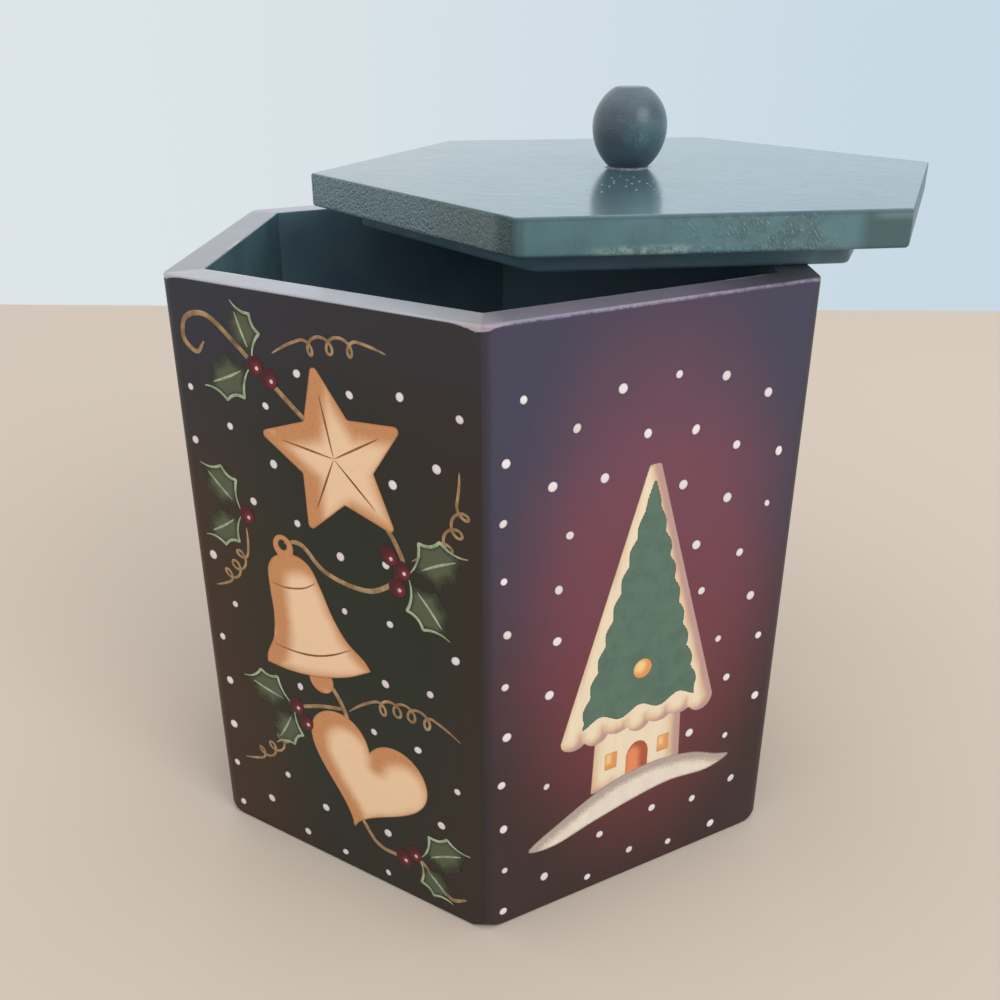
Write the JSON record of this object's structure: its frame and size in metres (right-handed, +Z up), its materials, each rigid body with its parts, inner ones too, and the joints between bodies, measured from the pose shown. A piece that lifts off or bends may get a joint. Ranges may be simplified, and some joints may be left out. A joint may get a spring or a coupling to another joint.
{
  "type": "lidded wooden box",
  "caption": "Hexagonal painted wooden canister of mitred boards with a loose lift-off lid, which lies askew on the rim and has an insert and a ball knob.",
  "frame": {"origin": "centre of the flat underside", "axes": "+Z up along the box's axis, -Y towards the upright corner that faces the picture's camera, +X to the right"},
  "size_m": [0.2172, 0.215, 0.2069],
  "materials": {
    "burgundy_paint": "satin paint on wood, airbrushed darker at the edges",
    "green_black_paint": "satin paint on wood, airbrushed darker at the edges",
    "inner_green_paint": "satin paint on wood",
    "lid_green_paint": "satin paint on wood, rubbed at the edges",
    "insert_green_paint": "satin paint on wood",
    "knob_green_paint": "satin paint on turned wood",
    "brad_steel": "bright wire",
    "screw_steel": "zinc plated"
  },
  "bodies": {
    "box": {"panel_front_right": "burgundy_paint", "panel_right": "green_black_paint", "panel_back_right": "burgundy_paint", "panel_back_left": "green_black_paint", "panel_left": "burgundy_paint", "panel_front_left": "green_black_paint", "bottom_board": "inner_green_paint", "bottom_brads": "brad_steel"},
    "lid": {"lid_board": "lid_green_paint", "lid_insert": "insert_green_paint", "knob": "knob_green_paint", "knob_screw": "screw_steel"}
  },
  "joints": [
    {"name": "lid_lift", "type": "slide", "parent": "box", "child": "lid", "axis": [0, 0, 1], "range_m": [0, 0.12]}
  ]
}
